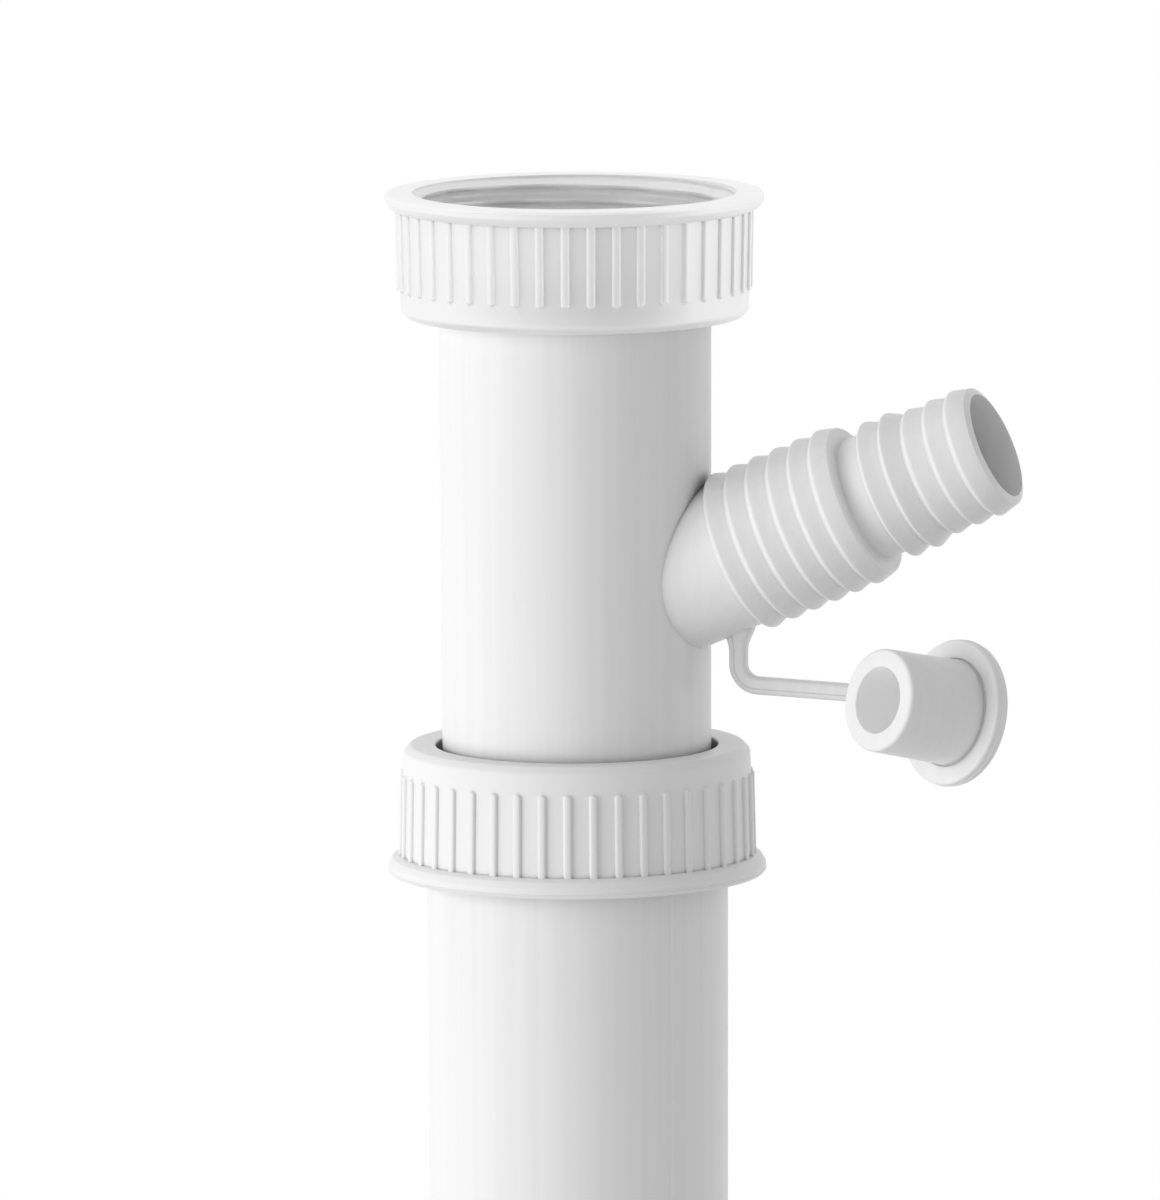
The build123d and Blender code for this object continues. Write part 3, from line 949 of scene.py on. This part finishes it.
def make_floor():
    """A round floor below the photograph's view, which fades out towards its edge."""
    verts = [(0, 0, 0)]
    for i in range(1, FLOOR_RINGS + 1):
        r = FLOOR_R * i / FLOOR_RINGS
        verts += [(r * math.cos(a), r * math.sin(a), 0) for a in even_angles(FLOOR_COLUMNS)]
    faces = [(0, 1 + k, 1 + (k + 1) % FLOOR_COLUMNS) for k in range(FLOOR_COLUMNS)]
    for i in range(FLOOR_RINGS - 1):
        a = 1 + i * FLOOR_COLUMNS
        b = a + FLOOR_COLUMNS
        for k in range(FLOOR_COLUMNS):
            d = (k + 1) % FLOOR_COLUMNS
            faces.append((a + k, b + k, b + d, a + d))
    floor = make_object("floor", verts, faces)
    floor.location = FLOOR_CENTRE
    material = bpy.data.materials.new("floor")
    material.use_nodes = True
    tree = material.node_tree
    matt = tree.nodes["Principled BSDF"]
    matt.inputs["Base Color"].default_value = (0.86, 0.86, 0.86, 1)
    matt.inputs["Roughness"].default_value = 0.9
    clear = add(tree, "BsdfTransparent")
    from_centre = vector_step(tree, "LENGTH", add(tree, "TexCoord").outputs["Object"])
    fade = add(tree, "MapRange", {"From Min": FADE_START, "From Max": FADE_END})
    fade.interpolation_type = "SMOOTHSTEP"
    mix = add(tree, "MixShader")
    tree.links.new(from_centre, fade.inputs["Value"])
    tree.links.new(fade.outputs["Result"], mix.inputs["Fac"])
    tree.links.new(matt.outputs["BSDF"], mix.inputs[1])
    tree.links.new(clear.outputs["BSDF"], mix.inputs[2])
    tree.links.new(mix.outputs["Shader"], tree.nodes["Material Output"].inputs["Surface"])
    dress(floor, material)


def make_world(strength):
    """White to the camera, to reflections and through clear things, and dimmer as light."""
    world = bpy.data.worlds.new("studio")
    bpy.context.scene.world = world
    world.use_nodes = True
    tree = world.node_tree
    tree.nodes.clear()
    seen = add(tree, "Background", {"Strength": 1.0, "Color": (1, 1, 1, 1)})
    light = add(tree, "Background", {"Strength": strength, "Color": (1, 1, 1, 1)})
    path = add(tree, "LightPath")
    direct = combine(tree, "MAXIMUM", path.outputs["Is Camera Ray"], path.outputs["Is Transmission Ray"])
    mix = add(tree, "MixShader")
    tree.links.new(combine(tree, "MAXIMUM", direct, path.outputs["Is Glossy Ray"]), mix.inputs["Fac"])
    tree.links.new(light.outputs["Background"], mix.inputs[1])
    tree.links.new(seen.outputs["Background"], mix.inputs[2])
    tree.links.new(mix.outputs["Shader"], add(tree, "OutputWorld").inputs["Surface"])


make_floor()
make_world(0.56)

# Camera, from the fit to the photograph: millimetres, radians, and pixels for the focal length
PITCH = 0.1349
ROLL = -0.0048
DISTANCE = 2278.4
BEARING = math.radians(17.53)
TARGET_SIDE = 0.563
TARGET_LEVEL = -60.69
FOCAL_PIXELS = 15420.0
FRAME_PIXELS = 1200.0
SENSOR_WIDTH = 36.0
side = Vector((math.cos(BEARING), math.sin(BEARING), 0))
ahead = Vector((-math.sin(BEARING), math.cos(BEARING), 0))


def make_camera():
    """The camera, looking at a point near the pipe's axis, pitched down and slightly rolled."""
    up_axis = Vector((0, 0, 1))
    look = ahead * math.cos(PITCH) - up_axis * math.sin(PITCH)
    up = ahead * math.sin(PITCH) + up_axis * math.cos(PITCH)
    right = side * math.cos(ROLL) + up * math.sin(ROLL)
    top = up * math.cos(ROLL) - side * math.sin(ROLL)
    target = side * TARGET_SIDE + up_axis * TARGET_LEVEL
    stand = (target - look * DISTANCE) * MM
    data = bpy.data.cameras.new("camera")
    data.sensor_width = SENSOR_WIDTH
    data.lens = FOCAL_PIXELS * SENSOR_WIDTH / FRAME_PIXELS
    data.clip_start = 0.1
    data.clip_end = 20.0
    camera = bpy.data.objects.new("camera", data)
    camera.matrix_world = Matrix((
        (right.x, top.x, -look.x, stand.x),
        (right.y, top.y, -look.y, stand.y),
        (right.z, top.z, -look.z, stand.z),
        (0, 0, 0, 1),
    ))
    bpy.context.scene.collection.objects.link(camera)
    bpy.context.scene.camera = camera


def softbox(name, bearing, height, width, tall, power):
    """A soft lamp; its bearing is in degrees from the camera's side, positive to the right."""
    distance = 1.4
    aim = Vector((0, 0, -0.1))
    a = math.radians(bearing)
    direction = -ahead * math.cos(a) + side * math.sin(a)
    data = bpy.data.lights.new(name, "AREA")
    data.shape = "RECTANGLE"
    data.size = width
    data.size_y = tall
    data.energy = power
    lamp = bpy.data.objects.new(name, data)
    lamp.location = direction * distance + Vector((0, 0, height))
    lamp.rotation_mode = "QUATERNION"
    lamp.rotation_quaternion = (aim - lamp.location).to_track_quat("-Z", "Y")
    bpy.context.scene.collection.objects.link(lamp)
    lamp.visible_camera = False
    lamp.visible_glossy = False


make_camera()
softbox("key_left", -68, -0.05, 1.0, 1.2, 13.2)
softbox("front_left", -45, 0.1, 0.8, 1.0, 0.9)
softbox("back_right", 120, 0.1, 0.7, 1.0, 1.4)

bpy.context.scene.view_settings.view_transform = "Standard"
